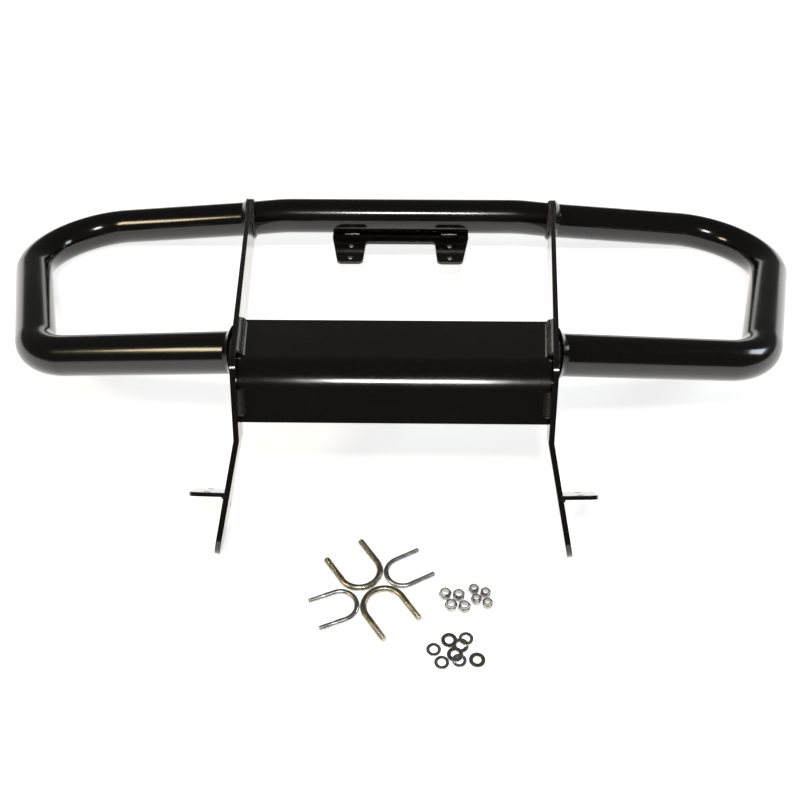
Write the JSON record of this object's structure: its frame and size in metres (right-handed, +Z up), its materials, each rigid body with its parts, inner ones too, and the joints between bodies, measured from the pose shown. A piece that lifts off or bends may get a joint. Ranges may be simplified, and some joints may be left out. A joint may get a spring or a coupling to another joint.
{
  "type": "front grille guard",
  "caption": "Welded tube and plate front guard with open side wings, a bent nose panel, drilled clamp tabs and a lamp bracket, with its loose U-bolts, lock nuts and washers.",
  "frame": {"origin": "on the floor the guard lies on, on its centre plane, midway along the layout", "axes": "+X to the guard's side, +Y up the mounted guard from feet to top rail, +Z up from the floor, which is forward on the mounted guard"},
  "size_m": [1.1256, 0.7715, 0.2008],
  "materials": {
    "tube_black": "gloss black powder coat",
    "plate_black": "gloss black powder coat",
    "weld_black": "gloss black powder coat over rippled weld",
    "zinc_yellow": "yellow zinc plate",
    "zinc_clear": "clear zinc plate",
    "zinc_nut": "clear zinc plate",
    "zinc_washer": "clear zinc plate",
    "nylon": "natural nylon"
  },
  "bodies": {
    "guard": {"center_tube": "tube_black", "center_welds": "weld_black", "nose_panel": "plate_black", "panel_welds": "weld_black", "accessory_bracket": "plate_black", "bracket_welds": "weld_black", "right_side_plate": "plate_black", "left_side_plate": "plate_black", "right_wing_tube": "tube_black", "left_wing_tube": "tube_black", "right_wing_welds": "weld_black", "left_wing_welds": "weld_black", "right_foot_tab": "plate_black", "left_foot_tab": "plate_black", "right_tab_weld": "weld_black", "left_tab_weld": "weld_black"},
    "large_u_bolt_a": {"large_u_bolt_a": "zinc_yellow"},
    "large_u_bolt_b": {"large_u_bolt_b": "zinc_yellow"},
    "small_u_bolt_a": {"small_u_bolt_a": "zinc_clear"},
    "small_u_bolt_b": {"small_u_bolt_b": "zinc_clear"},
    "large_nuts": {"large_lock_nuts": "zinc_nut", "large_nut_inserts": "nylon"},
    "small_nuts": {"small_lock_nuts": "zinc_nut", "small_nut_inserts": "nylon"},
    "washers": {"large_washers": "zinc_washer", "small_washers": "zinc_washer"}
  },
  "joints": [
    {"name": "large_u_bolt_a_lift", "type": "slide", "parent": "guard", "child": "large_u_bolt_a", "axis": [0, 0, 1], "range_m": [0, 0.15]},
    {"name": "large_u_bolt_b_lift", "type": "slide", "parent": "guard", "child": "large_u_bolt_b", "axis": [0, 0, 1], "range_m": [0, 0.15]},
    {"name": "small_u_bolt_a_lift", "type": "slide", "parent": "guard", "child": "small_u_bolt_a", "axis": [0, 0, 1], "range_m": [0, 0.15]},
    {"name": "small_u_bolt_b_lift", "type": "slide", "parent": "guard", "child": "small_u_bolt_b", "axis": [0, 0, 1], "range_m": [0, 0.15]},
    {"name": "large_nuts_lift", "type": "slide", "parent": "guard", "child": "large_nuts", "axis": [0, 0, 1], "range_m": [0, 0.15]},
    {"name": "small_nuts_lift", "type": "slide", "parent": "guard", "child": "small_nuts", "axis": [0, 0, 1], "range_m": [0, 0.15]},
    {"name": "washers_lift", "type": "slide", "parent": "guard", "child": "washers", "axis": [0, 0, 1], "range_m": [0, 0.15]}
  ]
}
